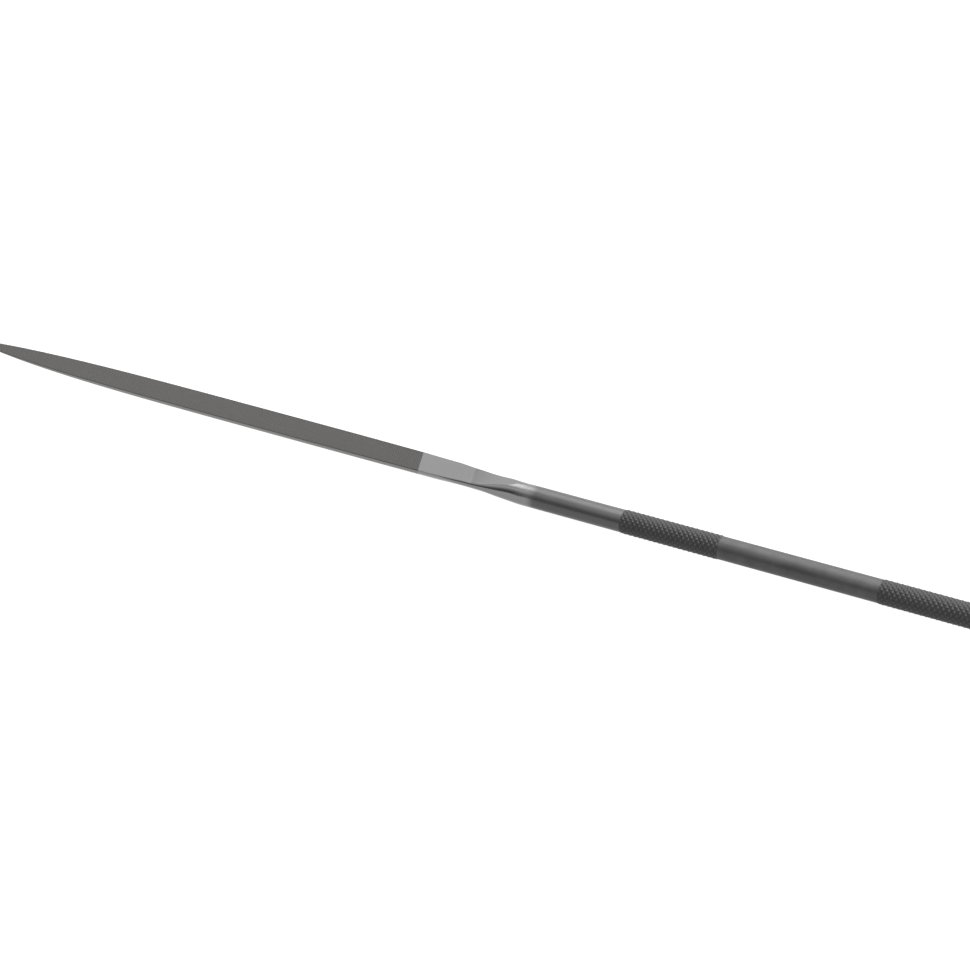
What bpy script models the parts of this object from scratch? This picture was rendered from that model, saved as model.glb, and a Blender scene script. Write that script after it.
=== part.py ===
"""Half round needle file with a round knurled handle.

The real file is one bar of tool steel. It is built here as the zones that follow each other along it, each a
closed solid that meets the next face to face. The file lies along X with its flat up: the middle of the butt's
end is the origin, and the tip points to minus X.
"""

import math

import bmesh
import bpy

MM = 0.001

# Lengths along the file, from the butt to the tip
BUTT_LENGTH = 1.8 * MM
REAR_KNURL_LENGTH = 13.9 * MM
PLAIN_LAND_LENGTH = 21.6 * MM
FRONT_KNURL_LENGTH = 13.9 * MM
SHANK_LENGTH = 13.2 * MM
NECK_LENGTH = 9.3 * MM
HEEL_LENGTH = 8.3 * MM
CUT_LENGTH = 78.0 * MM

# Handle
HANDLE_DIAMETER = 3.1 * MM
BUTT_CHAMFER = 0.4 * MM

# Knurl: two crossing sets of V grooves, which leave four-sided points between them. The pitches are those of
# one set of grooves, along the handle and around it.
KNURL_DIAMETER = 3.32 * MM
KNURL_DEPTH = 0.14 * MM
KNURL_PITCH_ALONG = 0.7 * MM
KNURL_PITCH_AROUND = 0.79 * MM

# Blade: a flat on top, and a round back below it
BLADE_WIDTH = 5.0 * MM
BLADE_THICKNESS = 1.72 * MM
FLAT_HEIGHT = 0.78 * MM  # of the flat, over the handle's axis
POINT_LENGTH = 56.0 * MM  # of the stretch that narrows towards the tip
TIP_WIDTH = 0.5 * MM

# The point's outline: how late it narrows, and how blunt it comes together
POINT_POWER = 4.0
POINT_ROUNDING = 0.775

# Width that the blade has lost where the teeth end
CUT_END_WIDTH_SHARE = 0.945

# The flat climbs to the handle's top over this share of the neck's length: a part of the way at a steady slope,
# and the rest ever more steeply
RUN_OUT_SHARE = 0.74
STEADY_CLIMB_SHARE = 0.29
RUN_OUT_POWER = 1.9

# From the end of the teeth to the end of the neck, at each share of that way: how much of the blade's back
# radius is left over the handle's, how far the underside has come down to the handle's, and two values of the
# rounding between the flat and the back: its radius as a share of the handle's, and the height of its middle as
# a share of the flat's. The flat cuts the rounding off at a crease.
WAIST_SHARES = (
    (0.0, 1.0, 0.0, 0.05, 0.92),
    (0.2, 0.91, 0.0, 0.08, 0.86),
    (0.4, 1.29, -0.28, 0.33, 0.52),
    (0.5, 1.03, -0.16, 0.34, 0.46),
    (0.6, 0.68, 0.05, 0.46, 0.35),
    (0.7, 0.29, 0.48, 0.69, 0.21),
    (0.8, 0.03, 0.8, 0.89, 0.16),
    (0.9, 0.0, 1.0, 1.0, 0.0),
    (1.0, 0.0, 1.0, 1.0, 0.0),
)

# Fineness of the solids
TURNED_SIDES = 32
BLADE_RINGS = 26
HEEL_RINGS = 6
RUN_OUT_RINGS = 26
SHOULDER_RINGS = 5
CROWDING = 1.7
WELD = 0.0005 * MM
SHARP_ANGLE = math.radians(30)

# Places along X: of each zone, the end nearer the tip, and of the flat's run-out, the end nearer the butt
BUTT_END = -BUTT_LENGTH
REAR_KNURL_END = BUTT_END - REAR_KNURL_LENGTH
PLAIN_LAND_END = REAR_KNURL_END - PLAIN_LAND_LENGTH
FRONT_KNURL_END = PLAIN_LAND_END - FRONT_KNURL_LENGTH
SHANK_END = FRONT_KNURL_END - SHANK_LENGTH
NECK_END = SHANK_END - NECK_LENGTH
RUN_OUT_END = NECK_END + RUN_OUT_SHARE * NECK_LENGTH
HEEL_END = NECK_END - HEEL_LENGTH
TIP = HEEL_END - CUT_LENGTH

HANDLE_RADIUS = HANDLE_DIAMETER / 2


def clear_scene():
    for obj in list(bpy.data.objects):
        bpy.data.objects.remove(obj, do_unlink=True)


def steel(name, colour, roughness, metallic):
    """A steel finish, with its colour in linear red, green and blue."""
    material = bpy.data.materials.new(name)
    material.use_nodes = True
    shader = material.node_tree.nodes["Principled BSDF"]
    shader.inputs["Base Color"].default_value = (*colour, 1.0)
    shader.inputs["Roughness"].default_value = roughness
    shader.inputs["Metallic"].default_value = metallic
    return material


def through(shares, place, column):
    """The value of a column of the shares at a place between 0 and 1, on a smooth curve through its rows."""
    last = len(shares) - 1
    low = 0
    while low < last - 1 and shares[low + 1][0] < place:
        low += 1
    rows = [shares[max(0, min(last, low + step))] for step in (-1, 0, 1, 2)]
    span = rows[2][0] - rows[1][0]
    part = (place - rows[1][0]) / span
    slope_in = (rows[2][column] - rows[0][column]) / (rows[2][0] - rows[0][0]) * span
    slope_out = (rows[3][column] - rows[1][column]) / (rows[3][0] - rows[1][0]) * span
    change = rows[2][column] - rows[1][column]
    bend = 3 * change - 2 * slope_in - slope_out
    twist = slope_in + slope_out - 2 * change
    return rows[1][column] + part * (slope_in + part * (bend + part * twist))


def back_radius(width, thickness):
    """Radius of the round back, from the width of the flat and the thickness under it."""
    half = width / 2
    return (half * half + thickness * thickness) / (2 * thickness)


def point_share(from_tip):
    """Share of the full width and thickness at a distance from the tip."""
    tip_share = (TIP_WIDTH / BLADE_WIDTH) ** (1 / POINT_ROUNDING)
    start = 1 - (1 - tip_share) ** (1 / POINT_POWER)
    along = start + (1 - start) * min(1.0, from_tip / POINT_LENGTH)
    return (1 - (1 - along) ** POINT_POWER) ** POINT_ROUNDING


def blade_section(x):
    """The values a section is drawn from, along the teeth.

    They are the back's radius and the height of its centre, the height of the flat, and the radius of its edges'
    rounding and the height of that rounding's middle.
    """
    from_tip = x - TIP
    straight = max(CUT_LENGTH - POINT_LENGTH, WELD)
    past_point = max(0.0, from_tip - POINT_LENGTH) / straight
    narrowing = 1 - (1 - CUT_END_WIDTH_SHARE) * past_point**2
    share = point_share(from_tip)
    thickness = BLADE_THICKNESS * share
    radius = back_radius(BLADE_WIDTH * share * narrowing, thickness)
    return radius, FLAT_HEIGHT - thickness + radius, FLAT_HEIGHT, 0.0, FLAT_HEIGHT


def waist_section(x):
    """The same values through the heel and the neck, where the half round turns into the round handle."""
    start_radius, start_centre, *_ = blade_section(HEEL_END)
    place = (x - HEEL_END) / (HEEL_LENGTH + NECK_LENGTH)
    radius = HANDLE_RADIUS + (start_radius - HANDLE_RADIUS) * through(WAIST_SHARES, place, 1)
    belly = start_centre - start_radius
    belly -= (belly + HANDLE_RADIUS) * through(WAIST_SHARES, place, 2)
    centre = belly + radius
    rounding = min(radius, HANDLE_RADIUS * through(WAIST_SHARES, place, 3))
    gap = radius - rounding
    height = max(centre - gap, min(centre + gap, FLAT_HEIGHT * through(WAIST_SHARES, place, 4)))
    out = max(0.0, (x - NECK_END) / (RUN_OUT_END - NECK_END))
    climb = STEADY_CLIMB_SHARE * out + (1 - STEADY_CLIMB_SHARE) * out**RUN_OUT_POWER
    flat = min(height + rounding, FLAT_HEIGHT + (HANDLE_RADIUS - FLAT_HEIGHT) * climb)
    return radius, centre, flat, rounding, height


def ring_points(x, section):
    """One cross-section: from one end of the flat down its edge's rounding, round the back and up the other.

    Past the flat's run-out both edges meet at the top, and the section is a full circle.
    """
    radius, centre, flat, rounding, height = section(x)
    reach = math.sqrt(max(0.0, (radius - rounding) ** 2 - (height - centre) ** 2))
    over = flat - height
    crease = math.atan2(over, math.sqrt(max(0.0, rounding**2 - over**2)))
    back_start = math.atan2(height - centre, reach)
    points = []
    for step in range(TURNED_SIDES + 1):
        angle = crease - (math.pi + 2 * crease) * step / TURNED_SIDES
        from_bottom = angle + math.pi / 2
        side, up = math.cos(angle), math.sin(angle)
        if abs(from_bottom) > back_start + math.pi / 2:
            points.append((x, math.copysign(reach, from_bottom) + rounding * side, height + rounding * up))
        else:
            points.append((x, radius * side, centre + radius * up))
    return points


def add_object(name, mesh, material, collection):
    """Adds an object with this mesh, its round sides shaded smooth."""
    mesh.shade_smooth()
    mesh.set_sharp_from_angle(angle=SHARP_ANGLE)
    mesh.materials.append(material)
    obj = bpy.data.objects.new(name, mesh)
    collection.objects.link(obj)
    return obj


def finish_mesh(name, bm, material, collection):
    """Makes an object of the edited mesh, with its faces outwards."""
    bmesh.ops.recalc_face_normals(bm, faces=bm.faces)
    mesh = bpy.data.meshes.new(name)
    bm.to_mesh(mesh)
    bm.free()
    return add_object(name, mesh, material, collection)


def lofted(name, places, section, material, collection):
    """A solid through the sections at the given places along X, closed by a flat cap at each end."""
    bm = bmesh.new()
    rings = [[bm.verts.new(point) for point in ring_points(x, section)] for x in places]
    for ring, following in zip(rings, rings[1:]):
        for step in range(len(ring)):
            beside = (step + 1) % len(ring)
            bm.faces.new((ring[step], ring[beside], following[beside], following[step]))
    bm.faces.new(rings[0])
    bm.faces.new(rings[-1])
    bmesh.ops.remove_doubles(bm, verts=bm.verts, dist=WELD)
    bmesh.ops.dissolve_degenerate(bm, edges=bm.edges, dist=WELD)
    return finish_mesh(name, bm, material, collection)


def evenly(start, end, count):
    return [start + (end - start) * step / count for step in range(count + 1)]


def crowded_at_start(start, end, count):
    """Places that lie closer together near the start."""
    return [start + (end - start) * (step / count) ** CROWDING for step in range(count + 1)]


def neck_places():
    """Places that lie closer together where the flat's edges meet, and then on to the shank."""
    run_out = crowded_at_start(RUN_OUT_END, NECK_END, RUN_OUT_RINGS)
    return run_out[:0:-1] + evenly(RUN_OUT_END, SHANK_END, SHOULDER_RINGS)


def round_bar(name, start, end, material, collection):
    """A plain round length of the handle, between two places along X."""
    bm = bmesh.new()
    bmesh.ops.create_cone(
        bm,
        cap_ends=True,
        segments=TURNED_SIDES,
        radius1=HANDLE_RADIUS,
        radius2=HANDLE_RADIUS,
        depth=start - end,
    )
    obj = finish_mesh(name, bm, material, collection)
    obj.location.x = (start + end) / 2
    obj.rotation_euler.y = math.pi / 2
    return obj


def knurled_bar(name, start, end, material, collection):
    """A knurled length of the handle: a grid rolled into a tube, with every other point pressed in.

    The pressed points are where two grooves cross, so each cell is folded along the groove between its two.
    """
    rows = 2 * round((start - end) / KNURL_PITCH_ALONG)
    columns = 2 * round(math.pi * KNURL_DIAMETER / KNURL_PITCH_AROUND)
    peak = KNURL_DIAMETER / 2
    bm = bmesh.new()
    bmesh.ops.create_grid(bm, x_segments=rows, y_segments=columns, size=1)
    pressed = set()
    for vert in bm.verts:
        row = round((vert.co.x + 1) / 2 * rows)
        column = round((vert.co.y + 1) / 2 * columns)
        radius = peak
        if (row + column) % 2:
            radius = peak - KNURL_DEPTH
            pressed.add(vert)
        angle = 2 * math.pi * column / columns
        vert.co = (start + (end - start) * row / rows, radius * math.sin(angle), radius * math.cos(angle))
    for face in list(bm.faces):
        bmesh.utils.face_split(face, *[vert for vert in face.verts if vert in pressed])
    bmesh.ops.remove_doubles(bm, verts=bm.verts, dist=WELD)
    rims = [edge for edge in bm.edges if edge.is_boundary]
    bmesh.ops.holes_fill(bm, edges=rims, sides=0)
    obj = finish_mesh(name, bm, material, collection)
    obj.data.shade_flat()
    return obj


def turned_butt(name, material, collection):
    """The handle's plain end: a profile with a chamfer, turned about the handle's axis."""
    profile = (
        (0.0, 0.0),
        (HANDLE_RADIUS - BUTT_CHAMFER, 0.0),
        (HANDLE_RADIUS, -BUTT_CHAMFER),
        (HANDLE_RADIUS, -BUTT_LENGTH),
        (0.0, -BUTT_LENGTH),
    )
    outline = bpy.data.meshes.new(name + "_profile")
    edges = [(point, point + 1) for point in range(len(profile) - 1)]
    outline.from_pydata([(out, 0.0, height) for out, height in profile], edges, [])
    guide = bpy.data.objects.new(name + "_profile", outline)
    collection.objects.link(guide)
    turn = guide.modifiers.new("turned", "SCREW")
    turn.steps = TURNED_SIDES
    turn.render_steps = TURNED_SIDES
    turn.use_merge_vertices = True
    turn.merge_threshold = WELD
    turned = guide.evaluated_get(bpy.context.evaluated_depsgraph_get())
    mesh = bpy.data.meshes.new_from_object(turned)
    mesh.name = name
    bpy.data.objects.remove(guide)
    obj = add_object(name, mesh, material, collection)
    obj.rotation_euler.y = math.pi / 2
    return obj


def build():
    clear_scene()
    parts = bpy.data.collections.new("half_round_file")
    bpy.context.scene.collection.children.link(parts)

    toothed_steel = steel("toothed_steel", (0.14, 0.135, 0.13), 0.55, 0.9)
    ground_steel = steel("ground_steel", (0.34, 0.345, 0.35), 0.35, 1.0)
    dark_steel = steel("dark_steel", (0.115, 0.112, 0.115), 0.45, 0.9)
    knurled_steel = steel("knurled_steel", (0.08, 0.08, 0.082), 0.5, 0.9)

    lofted("blade", crowded_at_start(TIP, HEEL_END, BLADE_RINGS), blade_section, toothed_steel, parts)
    lofted("heel", evenly(HEEL_END, NECK_END, HEEL_RINGS), waist_section, ground_steel, parts)
    lofted("neck", neck_places(), waist_section, ground_steel, parts)
    round_bar("shank", FRONT_KNURL_END, SHANK_END, dark_steel, parts)
    knurled_bar("front_knurl", PLAIN_LAND_END, FRONT_KNURL_END, knurled_steel, parts)
    round_bar("plain_land", REAR_KNURL_END, PLAIN_LAND_END, dark_steel, parts)
    knurled_bar("rear_knurl", BUTT_END, REAR_KNURL_END, knurled_steel, parts)
    turned_butt("butt", dark_steel, parts)


build()
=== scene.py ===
"""Looks of a half round needle file on plain white paper.

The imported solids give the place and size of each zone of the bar. Node trees loft every zone again through
the bar's own sections, at full detail, and cut the teeth and the knurl into it. The file lies along X with
its flat up, its butt at the origin and its tip at minus X.
"""

import math

import bmesh
import bpy
from mathutils import Matrix, Vector


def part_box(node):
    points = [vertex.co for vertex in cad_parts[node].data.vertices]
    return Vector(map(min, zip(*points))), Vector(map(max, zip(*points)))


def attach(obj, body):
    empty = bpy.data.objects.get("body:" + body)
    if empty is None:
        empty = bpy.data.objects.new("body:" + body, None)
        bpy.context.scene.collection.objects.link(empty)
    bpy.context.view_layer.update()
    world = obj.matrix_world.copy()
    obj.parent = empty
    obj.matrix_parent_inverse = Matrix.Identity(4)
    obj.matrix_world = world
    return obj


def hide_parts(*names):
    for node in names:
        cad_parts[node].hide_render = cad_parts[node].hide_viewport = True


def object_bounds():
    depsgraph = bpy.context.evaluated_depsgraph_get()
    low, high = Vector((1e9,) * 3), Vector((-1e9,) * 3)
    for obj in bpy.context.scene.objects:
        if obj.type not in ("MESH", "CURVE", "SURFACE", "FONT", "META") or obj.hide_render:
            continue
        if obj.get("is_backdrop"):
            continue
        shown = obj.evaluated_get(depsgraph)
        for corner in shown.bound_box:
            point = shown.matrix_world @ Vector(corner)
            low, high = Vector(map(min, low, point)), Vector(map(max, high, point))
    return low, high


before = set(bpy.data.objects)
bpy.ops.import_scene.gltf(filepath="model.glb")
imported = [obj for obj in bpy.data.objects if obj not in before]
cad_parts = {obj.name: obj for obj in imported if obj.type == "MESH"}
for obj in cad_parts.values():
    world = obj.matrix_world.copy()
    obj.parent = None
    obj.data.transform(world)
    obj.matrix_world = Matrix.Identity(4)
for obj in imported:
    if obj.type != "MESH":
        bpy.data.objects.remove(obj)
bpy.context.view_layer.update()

MM = 0.001

# Places along X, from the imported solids: the zones are counted from the butt to the tip, and each ends
# where the next one starts
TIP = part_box("blade")[0].x
HEEL_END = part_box("blade")[1].x
NECK_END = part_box("heel")[1].x
SHANK_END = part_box("neck")[1].x
PLAIN_LAND_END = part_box("front_knurl")[1].x
BUTT_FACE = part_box("butt")[1].x

# Sections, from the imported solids
HANDLE_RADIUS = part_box("plain_land")[1].z
KNURL_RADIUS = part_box("front_knurl")[1].z
FLAT_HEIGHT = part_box("blade")[1].z
BLADE_WIDTH = 2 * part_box("blade")[1].y
BLADE_THICKNESS = FLAT_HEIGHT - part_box("blade")[0].z

# The blade's outline
POINT_LENGTH = 56.0 * MM
TIP_WIDTH = 0.5 * MM
TIP_ROUNDING = 0.15 * MM
POINT_POWER = 4.0
POINT_ROUNDING = 0.775
CUT_END_WIDTH_SHARE = 0.945

# The flat climbs to the handle's top over this share of the neck's length: a part of the way at a steady
# slope, and the rest ever more steeply
RUN_OUT_SHARE = 0.74
STEADY_CLIMB_SHARE = 0.29
RUN_OUT_POWER = 1.9

# Through the heel and the neck, at each share of the way from the teeth to the shank: how much of the
# blade's back radius is left over the handle's, how far the underside has come down to the handle's, and two
# values of the rounding between the flat and the back: its radius as a share of the handle's, and the height
# of its middle as a share of the flat's. The flat cuts the rounding off at a crease.
WAIST_SHARES = (
    (0.0, 1.0, 0.0, 0.05, 0.92),
    (0.2, 0.91, 0.0, 0.08, 0.86),
    (0.4, 1.29, -0.28, 0.33, 0.52),
    (0.5, 1.03, -0.16, 0.34, 0.46),
    (0.6, 0.68, 0.05, 0.46, 0.35),
    (0.7, 0.29, 0.48, 0.69, 0.21),
    (0.8, 0.03, 0.8, 0.89, 0.16),
    (0.9, 0.0, 1.0, 1.0, 0.0),
    (1.0, 0.0, 1.0, 1.0, 0.0),
)

# Along the teeth that rounding is small, at most this share of the thickness, and its middle lies this
# share of its radius below the flat
CUT_EDGE_ROUNDING = 0.05 * MM
CUT_EDGE_LIMIT_SHARE = 0.25
CUT_EDGE_DROP_SHARE = 0.8

BUTT_CHAMFER = 0.4 * MM

# Teeth: rows that run across the bar, and on the flat a second, shallower set that crosses them
TOOTH_PITCH = 0.26 * MM
TOOTH_DEPTH = 0.055 * MM
TOOTH_SLANT = -0.367  # of a row: how far it moves along the bar for each step across it
OVERCUT_PITCH = 0.34 * MM
OVERCUT_DEPTH = 0.03 * MM
OVERCUT_ANGLE = math.radians(42)
OVERCUT_WIDTH_SHARE = 0.8
TOOTH_FRONT_SHARE = 0.25
TOOTH_BACK_POWER = 0.8
TOOTH_UNEVENNESS_SHARE = 0.25
TOOTH_FULL_THICKNESS = 0.5 * MM  # the teeth get shallower where the blade is thinner than this
SQUARE_TIP_SHARE = 0.02  # of the blade's length, over which the rows turn square to it at the tip
BACK_STRIPS = 6

# Knurl
KNURL_DEPTH = 0.14 * MM
KNURL_PITCH_ALONG = 0.7 * MM
KNURL_PITCH_AROUND = 0.79 * MM
KNURL_FADE = 0.18 * MM

# Fineness of the meshes
SPINE_STEP = 0.02 * MM
ROWS_PER_TOOTH = 4
SMOOTH_ROW = 0.1 * MM
KNURL_SAMPLES = 10
BLADE_COLUMNS = {"Flat Columns": 40, "Back Columns": 44}
SMOOTH_COLUMNS = {"Flat Columns": 24, "Back Columns": 120}
ROUND_COLUMNS = {"Flat Columns": 1, "Back Columns": 120}
MERGE = 0.002 * MM
SHARP_ANGLE = math.radians(12)

# Shades of the steels, from dark to light
TOOTHED_FLAT_SHADES = (0.0375, 0.0364, 0.036, 1.0), (0.0605, 0.0588, 0.0578, 1.0)
# The back's lighter shades hold a painted reflection of the bright floor
TOOTHED_BACK_SHADES_WITH_PAINTED_REFLECTION = (0.165, 0.162, 0.16, 1.0), (0.23, 0.226, 0.222, 1.0)
GROUND_SHADES = (0.187, 0.186, 0.188, 1.0), (0.195, 0.194, 0.197, 1.0)
# A painted shade for the flat's tilted run-out past the heel
FACET_PAINTED_SHADE = (0.15, 0.149, 0.151, 1.0)
SHANK_SHADES = (0.066, 0.0643, 0.0652, 1.0), (0.0835, 0.0817, 0.0826, 1.0)
# Darker than the shank's: a painted shade for the weaker light past the first knurl
LAND_SHADES_WITH_PAINTED_SHADE = (0.0395, 0.0385, 0.039, 1.0), (0.085, 0.0829, 0.084, 1.0)
KNURL_SHADES = (0.031, 0.03, 0.031, 1.0), (0.077, 0.075, 0.076, 1.0)

# What those shades follow: the relief, which is lighter where it stands out and darker in its hollows, a
# painted shade in the teeth's gullets and the knurl's grooves, and a mottle, whose scale is in blotches for
# each metre
TOOTHED_RELIEF_SHARE = 0.7
TOOTHED_MOTTLE_SHARE = 0.3
KNURL_RELIEF_SHARE = 0.5
KNURL_MOTTLE_SHARE = 0.3
TOOTHED_MOTTLE_SCALE = 400.0
SMOOTH_MOTTLE_SCALE = 600.0
KNURL_MOTTLE_SCALE = 500.0
COARSE_DETAIL = 2.0
FINE_DETAIL = 4.0

# Roughness of each steel where its mottle is lowest, and how much more it is where that is highest
TOOTHED_ROUGHNESS = 0.42
TOOTHED_ROUGHNESS_SPREAD = 0.1
DARK_ROUGHNESS = 0.28
DARK_ROUGHNESS_SPREAD = 0.08
LAND_EXTRA_ROUGHNESS = 0.13
KNURL_ROUGHNESS = 0.46
KNURL_ROUGHNESS_SPREAD = 0.08

# The oxide on the dark steels makes them less metallic
DARK_METALLIC = 0.7
KNURL_METALLIC = 0.8

# The ground steel gets more matte over a stretch before the handle, and then turns dark over a shorter one
GROUND_ROUGHNESS = 0.15
MATTE_STRETCH = 3.2 * MM
MATTE_EXTRA_ROUGHNESS = 0.09
MATTE_METALLIC_LOSS = 0.3
FINISH_FADE = 1.6 * MM
FINISH_FADE_UNEVENNESS = 0.6

# The flat's shade goes this far down the blade's edges, and turns into the back's over as much again. The
# back's lighter shade is the steel's grey with a painted reflection of the bright floor.
FLAT_SHADE_DEPTH = 0.12 * MM

# Past a line across the flat that slants, where the heel ends, the flat is painted darker: a painted shade
# for its tilted run-out. The slant is how far the line moves along the bar for each step across it
FACET_LINE_SLANT = -0.32
PAINTED_SHADE_FADE = 0.25 * MM

# Camera and light
CAMERA_AZIMUTH = math.radians(27.95)
CAMERA_ELEVATION = math.radians(31.0)
CAMERA_DISTANCE = 284.6 * MM
CAMERA_AIM = Vector((-71.95, 0.0, -0.339)) * MM
CAMERA_LENS = 77.39  # in millimetres, as is the sensor's width
SENSOR_WIDTH = 36.0
CLIP_START_SHARE = 0.01  # of the camera's distance, nearer than which nothing is seen
FLOOR_HALF_WIDTH = 10.0
FLOOR_GREY = 0.1
PAPER_GLOW = 1.0

# One wide soft light, overhead, that leans to the back and along the file towards its butt: its levels, as
# shares of its strength, at angles in degrees from its middle
LIGHT_LEAN_BACK = math.radians(21)
LIGHT_LEAN_ALONG = math.radians(10)
LIGHT_STRENGTH = 4.5
LIGHT_SHARES = (
    (0.0, 1.0),
    (34.5, 1.0),
    (39.7, 0.57),
    (43.7, 0.305),
    (49.5, 0.323),
    (56.5, 0.42),
    (62.7, 0.365),
    (69.0, 0.285),
    (76.3, 0.187),
    (83.6, 0.107),
    (90.0, 0.07),
    (96.0, 0.05),
    (180.0, 0.05),
)


class Wire:
    """An output socket that can be used in sums: each operation adds its Math node."""

    def __init__(self, graph, socket):
        self.graph = graph
        self.socket = socket

    def __add__(self, other):
        return self.graph.math("ADD", self, other)

    def __radd__(self, other):
        return self.graph.math("ADD", other, self)

    def __sub__(self, other):
        return self.graph.math("SUBTRACT", self, other)

    def __rsub__(self, other):
        return self.graph.math("SUBTRACT", other, self)

    def __mul__(self, other):
        return self.graph.math("MULTIPLY", self, other)

    def __rmul__(self, other):
        return self.graph.math("MULTIPLY", other, self)

    def __truediv__(self, other):
        return self.graph.math("DIVIDE", self, other)

    def __pow__(self, other):
        return self.graph.math("POWER", self, other)


class Graph:
    """A node tree, and the one method that adds a node of any kind to it."""

    def __init__(self, tree):
        self.tree = tree

    def node(self, kind, settings=None, sockets=None):
        """Adds a node: its settings first, then the values or links of its sockets, by name or by number."""
        made = self.tree.nodes.new(kind)
        for name, value in (settings or {}).items():
            if name == "stops":
                self.set_stops(made.color_ramp, value)
            else:
                setattr(made, name, value)
        for name, value in (sockets or {}).items():
            socket = self.socket_of(made, name)
            if isinstance(value, Wire):
                self.tree.links.new(value.socket, socket)
            else:
                socket.default_value = value
        return made

    def socket_of(self, node, name):
        if isinstance(name, int):
            return node.inputs[name]
        return next(socket for socket in node.inputs if socket.name == name and socket.enabled)

    def set_stops(self, ramp, stops):
        while len(ramp.elements) < len(stops):
            ramp.elements.new(1.0)
        for element, (place, level) in zip(ramp.elements, stops):
            element.position = place
            element.color = grey(level)

    def wire(self, kind, settings=None, sockets=None, output=None):
        """Adds a node and gives its output of that name, or its first one in use."""
        outputs = self.node(kind, settings, sockets).outputs
        found = (socket for socket in outputs if socket.enabled and output in (None, socket.name))
        return Wire(self, next(found))

    def math(self, operation, *values):
        return self.wire("ShaderNodeMath", {"operation": operation}, dict(enumerate(values)))

    def clamped(self, value):
        return self.math("MAXIMUM", self.math("MINIMUM", value, 1.0), 0.0)

    def smoothed(self, value):
        """The value, held between 0 and 1 with a soft start and end."""
        return self.wire("ShaderNodeMapRange", {"interpolation_type": "SMOOTHSTEP"}, {"Value": value})

    def vector(self, x, y, z):
        return self.wire("ShaderNodeCombineXYZ", {}, {"X": x, "Y": y, "Z": z})

    def split(self, vector):
        node = self.node("ShaderNodeSeparateXYZ", {}, {"Vector": vector})
        return [Wire(self, socket) for socket in node.outputs]

    def mixed(self, kind, factor, first, second):
        return self.wire("ShaderNodeMix", {"data_type": kind}, {"Factor": factor, "A": first, "B": second})


# The bar's sections


def through(shares, place, column):
    """The value of a column of the shares at a place between 0 and 1, on a smooth curve through its rows."""
    last = len(shares) - 1
    low = 0
    while low < last - 1 and shares[low + 1][0] < place:
        low += 1
    rows = [shares[max(0, min(last, low + step))] for step in (-1, 0, 1, 2)]
    span = rows[2][0] - rows[1][0]
    part = (place - rows[1][0]) / span
    slope_in = (rows[2][column] - rows[0][column]) / (rows[2][0] - rows[0][0]) * span
    slope_out = (rows[3][column] - rows[1][column]) / (rows[3][0] - rows[1][0]) * span
    change = rows[2][column] - rows[1][column]
    bend = 3 * change - 2 * slope_in - slope_out
    twist = slope_in + slope_out - 2 * change
    return rows[1][column] + part * (slope_in + part * (bend + part * twist))


def blade_section(x):
    """The values a section is drawn from, along the teeth.

    They are the back's radius and the height of its centre, the height of the flat, and the radius of its
    edges' rounding and the height of that rounding's middle.
    """
    from_tip = x - TIP
    tip_share = (TIP_WIDTH / BLADE_WIDTH) ** (1 / POINT_ROUNDING)
    start = 1 - (1 - tip_share) ** (1 / POINT_POWER)
    along = start + (1 - start) * min(1.0, from_tip / POINT_LENGTH)
    share = (1 - (1 - along) ** POINT_POWER) ** POINT_ROUNDING
    past_point = max(0.0, from_tip - POINT_LENGTH) / (HEEL_END - TIP - POINT_LENGTH)
    half_width = BLADE_WIDTH / 2 * share * (1 - (1 - CUT_END_WIDTH_SHARE) * past_point**2)
    thickness = BLADE_THICKNESS * share
    radius = (half_width**2 + thickness**2) / (2 * thickness)
    from_end = min(1.0, from_tip / TIP_ROUNDING)
    rounded = math.sqrt(1 - (1 - from_end) ** 2)
    middle = FLAT_HEIGHT - thickness / 2
    centre = radius - thickness / 2
    flat = middle + thickness / 2 * rounded
    rounding = min(CUT_EDGE_ROUNDING, thickness * CUT_EDGE_LIMIT_SHARE) * rounded
    height = flat - rounding * CUT_EDGE_DROP_SHARE
    return radius * rounded, middle + centre * rounded, flat, rounding, height


def waist_section(x):
    """The same values through the heel and the neck, where the half round turns into the round handle."""
    start_radius, start_centre, *_ = blade_section(HEEL_END)
    place = (x - HEEL_END) / (SHANK_END - HEEL_END)
    radius_share, belly_share, rounding_share, height_share = [
        through(WAIST_SHARES, place, column) for column in range(1, len(WAIST_SHARES[0]))
    ]
    radius = HANDLE_RADIUS + (start_radius - HANDLE_RADIUS) * radius_share
    belly = start_centre - start_radius
    belly -= (belly + HANDLE_RADIUS) * belly_share
    centre = belly + radius
    rounding = min(radius, HANDLE_RADIUS * rounding_share)
    gap = radius - rounding
    height = max(centre - gap, min(centre + gap, FLAT_HEIGHT * height_share))
    out = max(0.0, (x - NECK_END) / (RUN_OUT_SHARE * (SHANK_END - NECK_END)))
    climb = STEADY_CLIMB_SHARE * out + (1 - STEADY_CLIMB_SHARE) * out**RUN_OUT_POWER
    flat = min(height + rounding, FLAT_HEIGHT + (HANDLE_RADIUS - FLAT_HEIGHT) * climb)
    return radius, centre, flat, rounding, height


def bar_section(x):
    if x <= HEEL_END:
        return blade_section(x)
    if x < SHANK_END:
        return waist_section(x)
    radius = HANDLE_RADIUS - max(0.0, x - BUTT_FACE + BUTT_CHAMFER)
    return radius, 0.0, radius, radius, 0.0


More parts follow.
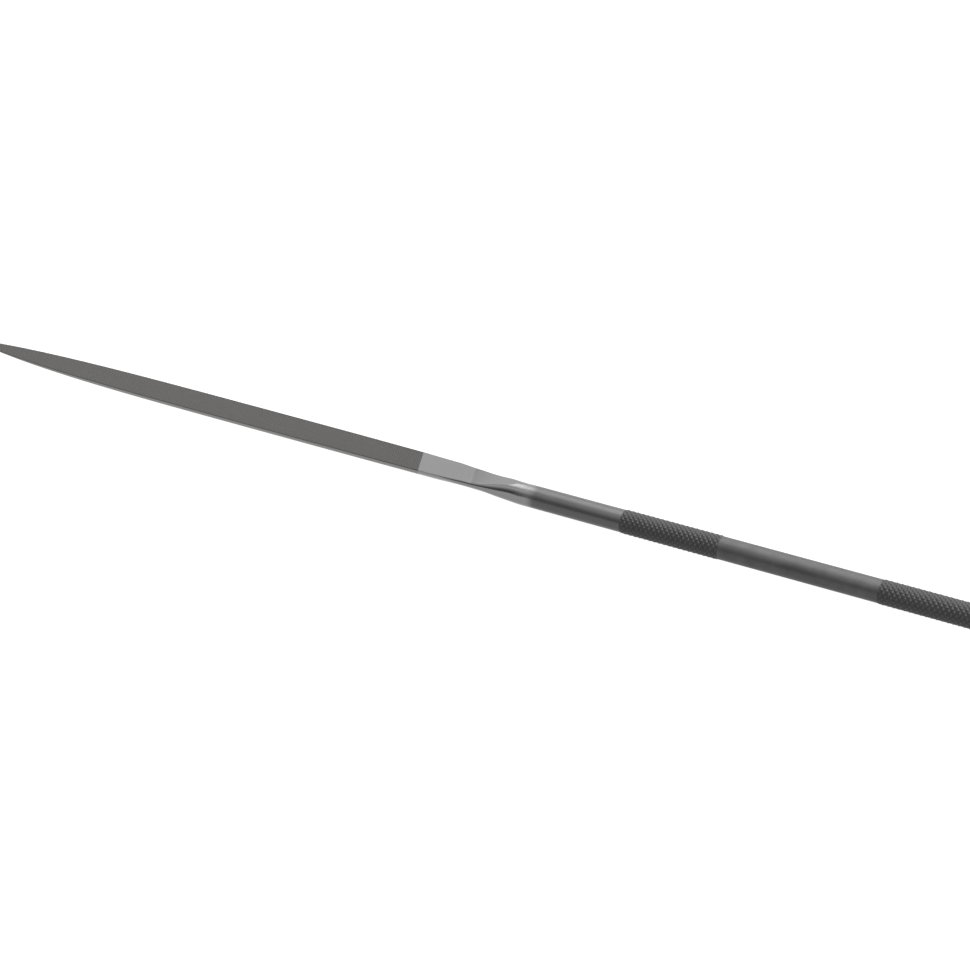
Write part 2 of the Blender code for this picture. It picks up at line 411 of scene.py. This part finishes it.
def spine_mesh():
    """Points along the bar's axis, each with what a section is drawn from there."""
    count = round((BUTT_FACE - TIP) / SPINE_STEP)
    places = [TIP + (BUTT_FACE - TIP) * step / count for step in range(count + 1)]
    mesh = bpy.data.meshes.new("spine")
    mesh.from_pydata([(x, 0.0, 0.0) for x in places], [], [])
    mesh.attributes.new("body", "FLOAT_VECTOR", "POINT")
    mesh.attributes.new("edge", "FLOAT_VECTOR", "POINT")
    bodies = mesh.attributes["body"].data
    edges = mesh.attributes["edge"].data
    for body, edge, x in zip(bodies, edges, places):
        radius, centre, flat, rounding, height = bar_section(x)
        reach = math.sqrt(max(0.0, (radius - rounding) ** 2 - (height - centre) ** 2))
        body.vector = radius, centre, flat
        edge.vector = rounding, reach, height
    return mesh


# Node trees that loft a zone of the bar

INPUTS = (
    ("Start", "Float"),
    ("End", "Float"),
    ("Rows", "Int"),
    ("Flat Columns", "Int"),
    ("Back Columns", "Int"),
    ("Start Slant", "Float"),
    ("End Slant", "Float"),
    ("Slant Fade", "Float"),
    ("Tooth Depth", "Float"),
    ("Overcut Pitch", "Float"),
    ("Overcut Depth", "Float"),
    ("Knurl Rise", "Float"),
    ("Knurl Depth", "Float"),
    ("Knurl Pitch", "Float"),
    ("Knurl Starts", "Int"),
    ("Knurl Fade", "Float"),
    ("Finish", "Material"),
)


class Zone:
    """The values that the nodes of one tree share: the place of each point in its row and column."""

    def __init__(self, graph, spine, inputs):
        self.graph = graph
        self.spine = spine
        self.inputs = inputs


def spine_value(zone, x, name):
    """The three values of one of the spine's attributes at a place, read between its two nearest points."""
    graph = zone.graph
    place = (x - TIP) / SPINE_STEP
    low = graph.math("FLOOR", place)
    values = graph.wire("GeometryNodeInputNamedAttribute", {"data_type": "FLOAT_VECTOR"}, {"Name": name})
    before, after = [
        graph.wire(
            "GeometryNodeSampleIndex",
            {"data_type": "FLOAT_VECTOR", "clamp": True},
            {"Geometry": zone.spine, "Value": values, "Index": index},
        )
        for index in (low, low + 1)
    ]
    return graph.split(graph.mixed("VECTOR", place - low, before, after))


def ring_point(zone, x):
    """Where the point's column lies on the section at a place, and which way the surface faces there.

    The columns run across the flat and then round from crease to crease: over one edge's rounding, along
    the back and over the other's.
    """
    graph = zone.graph
    radius, centre, flat = spine_value(zone, x, "body")
    rounding, reach, height = spine_value(zone, x, "edge")
    over = flat - height
    cut_off = graph.math("SQRT", graph.math("MAXIMUM", rounding * rounding - over * over, 0.0))
    crease = graph.math("ARCTAN2", over, cut_off)
    back_start = graph.math("ARCTAN2", height - centre, reach)
    angle = crease - (crease * 2 + math.pi) * zone.back
    from_bottom = angle + math.pi / 2
    away = graph.math("ABSOLUTE", from_bottom)
    on_edge = graph.math("GREATER_THAN", away, back_start + math.pi / 2)
    middle_y = graph.mixed("FLOAT", on_edge, 0.0, reach * graph.math("SIGN", from_bottom))
    middle_z = graph.mixed("FLOAT", on_edge, centre, height)
    bow = graph.mixed("FLOAT", on_edge, radius, rounding)
    out_y = graph.math("COSINE", angle)
    out_z = graph.math("SINE", angle)
    y = graph.mixed("FLOAT", zone.on_back, (reach + cut_off) * zone.side, middle_y + bow * out_y)
    z = graph.mixed("FLOAT", zone.on_back, flat, middle_z + bow * out_z)
    facing = (out_y * zone.on_back, graph.mixed("FLOAT", zone.on_back, 1.0, out_z))
    return y, z, angle, facing, flat, flat - centre + radius


def tooth_relief(zone):
    """Rows of teeth: the depth below the bar's skin, and the share of the full height that is left.

    Each tooth is steep on the side of the tip. On the flat a second set of grooves crosses the rows, and on
    the back the rows are broken into strips that don't line up.
    """
    graph = zone.graph
    strip = graph.math("FLOOR", zone.back * BACK_STRIPS)
    shift = graph.wire("ShaderNodeTexWhiteNoise", {"noise_dimensions": "1D"}, {"W": strip})
    shift = graph.math("FLOOR", shift * ROWS_PER_TOOTH) / ROWS_PER_TOOTH * zone.on_back
    phase = graph.math("FRACT", zone.step / ROWS_PER_TOOTH + shift)
    front = graph.math("MAXIMUM", 1 - phase / TOOTH_FRONT_SHARE, 0.0)
    rise = graph.math("MAXIMUM", (phase - TOOTH_FRONT_SHARE) / (1 - TOOTH_FRONT_SHARE), 0.0)
    height = front + rise**TOOTH_BACK_POWER
    tooth = graph.math("FLOOR", zone.step / ROWS_PER_TOOTH + shift)
    # Half a step off, so that no tooth draws the same number as a strip
    uneven = graph.wire("ShaderNodeTexWhiteNoise", {"noise_dimensions": "1D"}, {"W": tooth + 0.5})
    deep = zone.inputs["Tooth Depth"] * (1 - height) * (1 - TOOTH_UNEVENNESS_SHARE * uneven)
    across = zone.x * math.cos(OVERCUT_ANGLE) + zone.y * math.sin(OVERCUT_ANGLE)
    swing = graph.math("ABSOLUTE", graph.math("FRACT", across / zone.inputs["Overcut Pitch"]) * 2 - 1)
    groove = graph.math("MAXIMUM", 1 - swing / OVERCUT_WIDTH_SHARE, 0.0) * (1 - zone.on_back)
    deep = deep + zone.inputs["Overcut Depth"] * groove
    deepest = zone.inputs["Tooth Depth"] + zone.inputs["Overcut Depth"]
    small = graph.clamped(zone.thickness / TOOTH_FULL_THICKNESS)
    return deep * small, 1 - deep / deepest


def knurl_relief(zone):
    """The same for two crossing sets of V grooves. They leave four-sided points and fade out at the ends."""
    graph = zone.graph
    turn = zone.angle / (2 * math.pi) * zone.inputs["Knurl Starts"]
    along = (zone.x - zone.inputs["Start"]) / zone.inputs["Knurl Pitch"]
    sides = []
    for groove in (along + turn, along - turn):
        swing = graph.math("ABSOLUTE", graph.math("FRACT", groove) * 2 - 1)
        sides.append(1 - swing)
    height = graph.math("MINIMUM", *sides)
    to_end = graph.math("MINIMUM", zone.share, 1 - zone.share) * zone.length
    ends = graph.clamped(to_end / zone.inputs["Knurl Fade"])
    out = zone.inputs["Knurl Rise"] - zone.inputs["Knurl Depth"] * (1 - height)
    return out * ends * -1, height


def no_relief(zone):
    """The same for a plain surface: no depth anywhere, and the full height left."""
    return zone.share * 0, zone.share * 0 + 1


def zone_tree(name, relief):
    """The node tree that lofts one zone: a grid rolled round the sections of the bar, closed at both ends."""
    tree = bpy.data.node_groups.new(name, "GeometryNodeTree")
    tree.interface.new_socket("Spine", in_out="INPUT", socket_type="NodeSocketGeometry")
    for label, kind in INPUTS:
        tree.interface.new_socket(label, in_out="INPUT", socket_type="NodeSocket" + kind)
    tree.interface.new_socket("Zone", in_out="OUTPUT", socket_type="NodeSocketGeometry")
    graph = Graph(tree)
    entry = graph.node("NodeGroupInput")
    inputs = {label: Wire(graph, entry.outputs[label]) for label, _ in INPUTS}
    zone = Zone(graph, Wire(graph, entry.outputs["Spine"]), inputs)

    # One row of points more than the steps between them, and one more at each end that closes the zone
    columns = inputs["Flat Columns"] + inputs["Back Columns"]
    grid = graph.wire(
        "GeometryNodeMeshGrid",
        {},
        {"Size X": 1.0, "Size Y": 1.0, "Vertices X": inputs["Rows"] + 3, "Vertices Y": columns + 1},
    )
    index = graph.wire("GeometryNodeInputIndex")
    row = graph.math("FLOOR", (index + 0.5) / (columns + 1))
    column = index - row * (columns + 1)
    zone.step = graph.math("MAXIMUM", graph.math("MINIMUM", row - 1, inputs["Rows"]), 0.0)
    on_cap = graph.math("ABSOLUTE", row - 1 - zone.step)
    zone.share = zone.step / inputs["Rows"]
    zone.length = graph.math("ABSOLUTE", inputs["End"] - inputs["Start"])

    flat_part = graph.clamped(column / inputs["Flat Columns"])
    zone.back = graph.clamped((column - inputs["Flat Columns"]) / inputs["Back Columns"])
    zone.on_back = graph.math("MINIMUM", graph.math("CEIL", zone.back), graph.math("CEIL", 1 - zone.back))
    zone.side = flat_part * 2 - 1 - graph.math("FLOOR", zone.back) * 2

    row_x = inputs["Start"] + (inputs["End"] - inputs["Start"]) * zone.share
    fade = graph.clamped((zone.share - 1 + inputs["Slant Fade"]) / inputs["Slant Fade"])
    slant = graph.mixed("FLOAT", fade, inputs["Start Slant"], inputs["End Slant"])
    zone.x = row_x + slant * ring_point(zone, row_x)[0]
    zone.y, z, zone.angle, facing, flat, zone.thickness = ring_point(zone, zone.x)
    depth, left = relief(zone)
    skin = graph.vector(zone.x, zone.y - depth * facing[0], z - depth * facing[1])
    middle = graph.vector(row_x, 0.0, flat - zone.thickness * 0.5)
    place = graph.mixed("VECTOR", on_cap, skin, middle)
    placed = graph.wire("GeometryNodeSetPosition", {}, {"Geometry": grid, "Position": place})
    kept = graph.wire(
        "GeometryNodeStoreNamedAttribute",
        {"data_type": "FLOAT", "domain": "POINT"},
        {"Geometry": placed, "Name": "relief", "Value": left},
    )
    merged = graph.wire("GeometryNodeMergeByDistance", {}, {"Geometry": kept, "Distance": MERGE})
    real = graph.wire("GeometryNodeRealizeInstances", {}, {"Geometry": merged})
    finished = graph.wire("GeometryNodeSetMaterial", {}, {"Geometry": real, "Material": inputs["Finish"]})
    graph.node("NodeGroupOutput", {}, {"Zone": finished})
    return tree


def shaped(obj, mesh):
    """Gives the object its finished mesh: faces outwards, creases sharp."""
    bm = bmesh.new()
    bm.from_mesh(mesh)
    bmesh.ops.recalc_face_normals(bm, faces=bm.faces)
    bm.to_mesh(mesh)
    bm.free()
    mesh.shade_smooth()
    mesh.set_sharp_from_angle(angle=SHARP_ANGLE)
    obj.data = mesh
    return obj


def lofted(node, tree, spine, values):
    """The finished piece for one CAD node: the tree's result as a plain mesh."""
    obj = bpy.data.objects.new(node + "_surface", spine)
    bpy.context.scene.collection.objects.link(obj)
    loft = obj.modifiers.new("loft", "NODES")
    loft.node_group = tree
    for socket in tree.interface.items_tree:
        if socket.name in values:
            loft[socket.identifier] = values[socket.name]
    evaluated = obj.evaluated_get(bpy.context.evaluated_depsgraph_get())
    mesh = bpy.data.meshes.new_from_object(evaluated)
    mesh.name = obj.name
    obj.modifiers.remove(loft)
    return shaped(obj, mesh)


# Finishes of the steel


def blank_material(name):
    """A new material, its graph and its Principled BSDF."""
    material = bpy.data.materials.new(name)
    material.use_nodes = True
    return material, Graph(material.node_tree), material.node_tree.nodes["Principled BSDF"]


def mottle_on(graph, scale, detail):
    """Noise over the piece, from 0 to 1, with a scale in blotches for each metre."""
    place = graph.wire("ShaderNodeTexCoord", output="Object")
    return graph.wire("ShaderNodeTexNoise", {}, {"Vector": place, "Scale": scale, "Detail": detail})


def grey(value):
    return (value, value, value, 1.0)


def finish_steel(graph, shader, colour, roughness, metallic=1.0):
    """Links or sets what the shader takes."""
    for name, value in (("Base Color", colour), ("Roughness", roughness), ("Metallic", metallic)):
        socket = shader.inputs[name]
        if isinstance(value, Wire):
            graph.tree.links.new(value.socket, socket)
        else:
            socket.default_value = value


def toothed_steel():
    """The steel of the blade: the back is painted lighter than the flat, a painted reflection of the floor,
    and the teeth's gullets carry a painted shade.
    """
    material, graph, shader = blank_material("toothed_steel")
    relief = graph.wire("ShaderNodeAttribute", {"attribute_name": "relief"}, output="Fac")
    mottle = mottle_on(graph, TOOTHED_MOTTLE_SCALE, COARSE_DETAIL)
    z = graph.split(graph.wire("ShaderNodeTexCoord", output="Object"))[2]
    # The relief darkens the gullets between the teeth: a painted shade
    shade = graph.clamped(relief * TOOTHED_RELIEF_SHARE + mottle * TOOTHED_MOTTLE_SHARE)
    flat = graph.mixed("RGBA", shade, *TOOTHED_FLAT_SHADES)
    # The back's lighter shade is a painted reflection of the floor
    back = graph.mixed("RGBA", shade, *TOOTHED_BACK_SHADES_WITH_PAINTED_REFLECTION)
    painted_reflection_mask = graph.clamped((FLAT_HEIGHT - FLAT_SHADE_DEPTH - z) / FLAT_SHADE_DEPTH)
    colour = graph.mixed("RGBA", painted_reflection_mask, flat, back)
    finish_steel(graph, shader, colour, TOOTHED_ROUGHNESS + mottle * TOOTHED_ROUGHNESS_SPREAD)
    return material


def smooth_steel(name):
    """The steels of the surfaces without relief.

    The ground steel of the heel and the neck turns dark where the handle starts, and past the heel its flat
    has a painted shade. Past the first knurl the dark one is rougher, and painted darker: a painted shade for
    the weaker light there.
    """
    material, graph, shader = blank_material(name)
    x, y, z = graph.split(graph.wire("ShaderNodeTexCoord", output="Object"))
    mottle = mottle_on(graph, SMOOTH_MOTTLE_SCALE, FINE_DETAIL)
    past_neck = (x - SHANK_END) / FINISH_FADE + 0.5 + (mottle - 0.5) * FINISH_FADE_UNEVENNESS
    dark = graph.smoothed(past_neck)
    matte = graph.smoothed((x - SHANK_END) / MATTE_STRETCH + 1)
    past_knurl = graph.clamped((x - PLAIN_LAND_END) / FINISH_FADE + 1)
    past_facet_line = graph.clamped((x - FACET_LINE_SLANT * y - NECK_END) / PAINTED_SHADE_FADE + 0.5)
    on_flat = graph.clamped((z - FLAT_HEIGHT) / PAINTED_SHADE_FADE + 1)

    ground = graph.mixed("RGBA", mottle, *GROUND_SHADES)
    # Past the line the flat gets a painted shade for its tilt
    ground = graph.mixed("RGBA", past_facet_line * on_flat, ground, FACET_PAINTED_SHADE)
    shank = graph.mixed("RGBA", mottle, *SHANK_SHADES)
    # Past the first knurl the dark steel gets a painted shade
    land_with_painted_shade = graph.mixed("RGBA", mottle, *LAND_SHADES_WITH_PAINTED_SHADE)
    colour = graph.mixed("RGBA", dark, ground, graph.mixed("RGBA", past_knurl, shank, land_with_painted_shade))

    ground_roughness = GROUND_ROUGHNESS + matte * MATTE_EXTRA_ROUGHNESS
    dark_roughness = DARK_ROUGHNESS + mottle * DARK_ROUGHNESS_SPREAD + past_knurl * LAND_EXTRA_ROUGHNESS
    roughness = graph.mixed("FLOAT", dark, ground_roughness, dark_roughness)
    metallic = graph.mixed("FLOAT", dark, 1 - matte * MATTE_METALLIC_LOSS, DARK_METALLIC)
    finish_steel(graph, shader, colour, roughness, metallic)
    return material


def knurled_steel():
    """The dark steel of the knurls, lighter on their worn points and darker in their grooves with a painted
    shade.
    """
    material, graph, shader = blank_material("knurled_steel")
    relief = graph.wire("ShaderNodeAttribute", {"attribute_name": "relief"}, output="Fac")
    mottle = mottle_on(graph, KNURL_MOTTLE_SCALE, FINE_DETAIL)
    # The relief darkens the grooves with a painted shade and lightens the worn points
    shade = graph.clamped(relief * KNURL_RELIEF_SHARE + mottle * KNURL_MOTTLE_SHARE)
    colour = graph.mixed("RGBA", shade, *KNURL_SHADES)
    finish_steel(graph, shader, colour, KNURL_ROUGHNESS + mottle * KNURL_ROUGHNESS_SPREAD, KNURL_METALLIC)
    return material


# The pieces


def rows_of(node, spacing):
    low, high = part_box(node)
    return max(1, round((high.x - low.x) / spacing))


def blade_values():
    teeth = rows_of("blade", TOOTH_PITCH)
    return {
        "Start": HEEL_END,
        "End": TIP,
        "Rows": teeth * ROWS_PER_TOOTH,
        "Start Slant": TOOTH_SLANT,
        "End Slant": 0.0,
        "Slant Fade": SQUARE_TIP_SHARE,
        "Tooth Depth": TOOTH_DEPTH,
        "Overcut Pitch": OVERCUT_PITCH,
        "Overcut Depth": OVERCUT_DEPTH,
        **BLADE_COLUMNS,
    }


def smooth_values(node, columns, start_slant=0.0):
    low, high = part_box(node)
    return {
        "Start": low.x,
        "End": high.x,
        "Rows": rows_of(node, SMOOTH_ROW),
        "Start Slant": start_slant,
        "End Slant": 0.0,
        "Slant Fade": 1.0,
        **columns,
    }


def knurl_values(node):
    low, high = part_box(node)
    starts = round(2 * math.pi * KNURL_RADIUS / KNURL_PITCH_AROUND)
    return {
        "Start": low.x,
        "End": high.x,
        "Rows": rows_of(node, KNURL_PITCH_ALONG / KNURL_SAMPLES),
        "Flat Columns": 1,
        "Back Columns": starts * KNURL_SAMPLES,
        "Slant Fade": 1.0,
        "Knurl Rise": KNURL_RADIUS - HANDLE_RADIUS,
        "Knurl Depth": KNURL_DEPTH,
        "Knurl Pitch": KNURL_PITCH_ALONG,
        "Knurl Starts": starts,
        "Knurl Fade": KNURL_FADE,
    }


def make_bar():
    """Every zone of the bar, each standing for its CAD node and riding on its body."""
    spine = spine_mesh()
    smooth = zone_tree("smooth_zone", no_relief)
    toothed = zone_tree("toothed_zone", tooth_relief)
    knurled = zone_tree("knurled_zone", knurl_relief)
    finishes = {
        "toothed_steel": toothed_steel(),
        "knurled_steel": knurled_steel(),
        "ground_steel": smooth_steel("ground_steel"),
        "dark_steel": smooth_steel("dark_steel"),
    }
    zones = (
        ("blade", "toothed_steel", toothed, blade_values()),
        ("heel", "ground_steel", smooth, smooth_values("heel", SMOOTH_COLUMNS, TOOTH_SLANT)),
        ("neck", "ground_steel", smooth, smooth_values("neck", SMOOTH_COLUMNS)),
        ("shank", "dark_steel", smooth, smooth_values("shank", ROUND_COLUMNS)),
        ("front_knurl", "knurled_steel", knurled, knurl_values("front_knurl")),
        ("plain_land", "dark_steel", smooth, smooth_values("plain_land", ROUND_COLUMNS)),
        ("rear_knurl", "knurled_steel", knurled, knurl_values("rear_knurl")),
        ("butt", "dark_steel", smooth, smooth_values("butt", ROUND_COLUMNS)),
    )
    for node, slot, tree, values in zones:
        piece = lofted(node, tree, spine, {**values, "Finish": finishes[slot]})
        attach(piece, "root")
        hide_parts(node)


# The studio


def make_floor(height):
    bm = bmesh.new()
    bmesh.ops.create_grid(bm, x_segments=1, y_segments=1, size=FLOOR_HALF_WIDTH)
    mesh = bpy.data.meshes.new("floor")
    bm.to_mesh(mesh)
    bm.free()
    mesh.transform(Matrix.Translation((0.0, 0.0, height)))
    material, _, shader = blank_material("floor_paper")
    shader.inputs["Base Color"].default_value = grey(FLOOR_GREY)
    shader.inputs["Roughness"].default_value = 1.0
    shader.inputs["Specular IOR Level"].default_value = 0.0
    shader.inputs["Emission Color"].default_value = grey(1.0)
    shader.inputs["Emission Strength"].default_value = PAPER_GLOW
    mesh.materials.append(material)
    floor = bpy.data.objects.new("floor", mesh)
    bpy.context.scene.collection.objects.link(floor)
    floor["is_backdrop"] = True


def make_light():
    """The light all round the file. Past the floor's edge the camera sees plain paper instead of it."""
    world = bpy.data.worlds.new("studio")
    world.use_nodes = True
    bpy.context.scene.world = world
    graph = Graph(world.node_tree)
    direction = graph.wire("ShaderNodeTexCoord", output="Generated")
    across = math.cos(LIGHT_LEAN_ALONG)
    middle = Vector(
        (
            math.sin(LIGHT_LEAN_ALONG),
            math.sin(LIGHT_LEAN_BACK) * across,
            math.cos(LIGHT_LEAN_BACK) * across,
        )
    )
    facing = graph.wire(
        "ShaderNodeVectorMath",
        {"operation": "DOT_PRODUCT"},
        {0: direction, 1: middle},
        output="Value",
    )
    stops = [((1 + math.cos(math.radians(away))) / 2, share) for away, share in reversed(LIGHT_SHARES)]
    level = graph.wire("ShaderNodeValToRGB", {"stops": stops}, {"Fac": (facing + 1) / 2})
    seen = graph.wire("ShaderNodeLightPath", output="Is Camera Ray")
    shown = graph.mixed("RGBA", seen, level, grey(PAPER_GLOW / LIGHT_STRENGTH))
    background = world.node_tree.nodes["Background"]
    graph.tree.links.new(shown.socket, background.inputs["Color"])
    background.inputs["Strength"].default_value = LIGHT_STRENGTH


def make_camera():
    camera = bpy.data.objects.new("camera", bpy.data.cameras.new("camera"))
    bpy.context.scene.collection.objects.link(camera)
    along_floor = math.cos(CAMERA_ELEVATION)
    back = Vector(
        (
            math.sin(CAMERA_AZIMUTH) * along_floor,
            -math.cos(CAMERA_AZIMUTH) * along_floor,
            math.sin(CAMERA_ELEVATION),
        )
    )
    camera.location = CAMERA_AIM + back * CAMERA_DISTANCE
    camera.rotation_mode = "QUATERNION"
    camera.rotation_quaternion = back.to_track_quat("Z", "Y")
    camera.data.sensor_fit = "HORIZONTAL"
    camera.data.sensor_width = SENSOR_WIDTH
    camera.data.lens = CAMERA_LENS
    camera.data.clip_start = CAMERA_DISTANCE * CLIP_START_SHARE
    bpy.context.scene.camera = camera


bpy.context.scene.view_settings.view_transform = "Standard"
make_camera()
make_light()
make_bar()
make_floor(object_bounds()[0].z)
